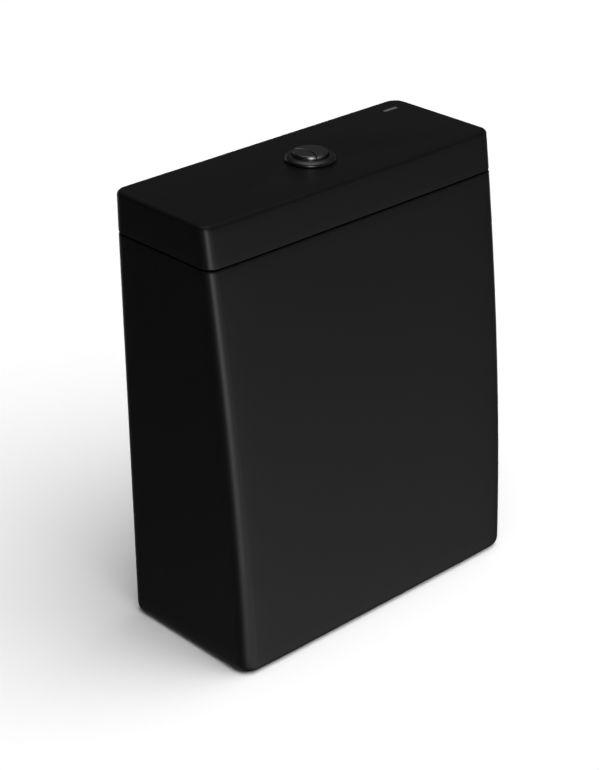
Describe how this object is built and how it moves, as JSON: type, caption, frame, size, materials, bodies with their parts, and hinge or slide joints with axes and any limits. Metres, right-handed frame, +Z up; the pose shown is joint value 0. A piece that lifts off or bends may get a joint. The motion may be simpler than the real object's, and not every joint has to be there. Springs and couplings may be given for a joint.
{
  "type": "close coupled toilet cistern",
  "caption": "Satin black china cistern with lift-off lid, round dual flush button, flush valve and bottom entry fill valve.",
  "frame": {"origin": "middle of the foot that the tank stands on", "axes": "+X along the wall, to the right from in front; +Y towards the wall; +Z up"},
  "size_m": [0.35, 0.1645, 0.4374],
  "materials": {
    "black_china": "satin black glaze",
    "dark_trim": "dark chrome plating on plastic",
    "white_plastic": "moulded",
    "grey_plastic": "moulded",
    "blue_plastic": "moulded",
    "black_rubber": "moulded",
    "foam_rubber": "closed cell foam",
    "pale_silicone": "translucent silicone",
    "steel": "stainless"
  },
  "bodies": {
    "tank": {"cistern_tank": "black_china", "lid_pad_front_left": "black_rubber", "lid_pad_front_right": "black_rubber", "lid_pad_back_left": "black_rubber", "lid_pad_back_right": "black_rubber", "outlet_base": "white_plastic", "outlet_gasket": "black_rubber", "outlet_back_nut": "grey_plastic", "doughnut_washer": "foam_rubber", "valve_cage": "white_plastic", "valve_mast": "white_plastic", "rocker_housing": "grey_plastic", "half_rocker_pin": "steel", "full_rocker_pin": "steel", "height_pin_back": "blue_plastic", "height_pin_front": "blue_plastic", "inlet_stem": "white_plastic", "inlet_washer": "black_rubber", "inlet_back_nut": "grey_plastic", "inlet_filter": "blue_plastic", "riser_sleeve": "grey_plastic", "riser_lock_ring": "blue_plastic", "fill_valve_head": "white_plastic", "fill_valve_cap": "blue_plastic", "lever_pin": "steel", "silencer_tube": "grey_plastic", "blanking_plug": "white_plastic", "plug_nut": "grey_plastic"},
    "lid": {"cistern_lid": "black_china", "button_bezel": "dark_trim", "button_housing": "grey_plastic", "button_gasket": "foam_rubber", "button_nut": "grey_plastic", "half_button_spring": "steel", "full_button_spring": "steel"},
    "full_button": {"full_flush_button": "dark_trim", "full_flush_rod": "white_plastic"},
    "half_button": {"half_flush_button": "dark_trim", "half_flush_rod": "white_plastic"},
    "full_plunger": {"full_plunger": "white_plastic"},
    "half_plunger": {"half_plunger": "white_plastic"},
    "full_rocker": {"full_rocker": "blue_plastic"},
    "half_rocker": {"half_rocker": "blue_plastic"},
    "spindle": {"overflow_tube": "white_plastic", "valve_seal": "pale_silicone", "seal_carrier": "grey_plastic", "full_flush_float": "blue_plastic", "lift_yoke": "grey_plastic"},
    "half_float": {"half_flush_float": "blue_plastic", "half_flush_link": "grey_plastic"},
    "fill_float": {"float_cup": "white_plastic"},
    "level_screw": {"adjuster_screw": "blue_plastic"},
    "float_lever": {"float_lever": "grey_plastic"}
  },
  "joints": [
    {"name": "lid_lift", "type": "slide", "parent": "tank", "child": "lid", "axis": [0, 0, 1], "range_m": [0, 0.15]},
    {"name": "full_button_press", "type": "slide", "parent": "lid", "child": "full_button", "axis": [0, 0, -1], "range_m": [0, 0.007], "stiffness_N_per_m": 400, "springref_m": -0.008, "deforming": ["full_button_spring"]},
    {"name": "half_button_press", "type": "slide", "parent": "lid", "child": "half_button", "axis": [0, 0, -1], "range_m": [0, 0.007], "stiffness_N_per_m": 400, "springref_m": -0.008, "deforming": ["half_button_spring"]},
    {"name": "full_plunger_drop", "type": "slide", "parent": "tank", "child": "full_plunger", "axis": [0, 0, -1], "range_m": [0, 0.007]},
    {"name": "half_plunger_drop", "type": "slide", "parent": "tank", "child": "half_plunger", "axis": [0, 0, -1], "range_m": [0, 0.007]},
    {"name": "full_rocker_tilt", "type": "hinge", "parent": "tank", "child": "full_rocker", "pos_m": [0.022, 0.016, 0.328], "axis": [0, -1, 0], "range_deg": [0, 30]},
    {"name": "half_rocker_tilt", "type": "hinge", "parent": "tank", "child": "half_rocker", "pos_m": [-0.022, 0.016, 0.328], "axis": [0, 1, 0], "range_deg": [0, 30]},
    {"name": "spindle_lift", "type": "slide", "parent": "tank", "child": "spindle", "axis": [0, 0, 1], "range_m": [0, 0.0088]},
    {"name": "half_float_lift", "type": "slide", "parent": "tank", "child": "half_float", "axis": [0, 0, 1], "range_m": [0, 0.0088]},
    {"name": "fill_float_rise", "type": "slide", "parent": "tank", "child": "fill_float", "axis": [0, 0, 1], "range_m": [0, 0.011]},
    {"name": "float_lever_tilt", "type": "hinge", "parent": "tank", "child": "float_lever", "pos_m": [-0.112, 0.016, 0.292], "axis": [0, -1, 0], "range_deg": [0, 23]},
    {"name": "level_screw_turn", "type": "hinge", "parent": "fill_float", "child": "level_screw", "pos_m": [-0.086, 0.016, 0.2], "axis": [0, 0, 1], "continuous": true}
  ],
  "couplings": [
    {"joint": "full_plunger_drop", "follows": "full_button_press", "ratio": 1},
    {"joint": "full_rocker_tilt", "follows": "full_button_press", "rad_per_m": 74.7},
    {"joint": "spindle_lift", "follows": "full_button_press", "ratio": 1.25},
    {"joint": "half_plunger_drop", "follows": "half_button_press", "ratio": 1},
    {"joint": "half_rocker_tilt", "follows": "half_button_press", "rad_per_m": 74.7},
    {"joint": "half_float_lift", "follows": "half_button_press", "ratio": 1.25},
    {"joint": "float_lever_tilt", "follows": "fill_float_rise", "rad_per_m": 36.3}
  ]
}
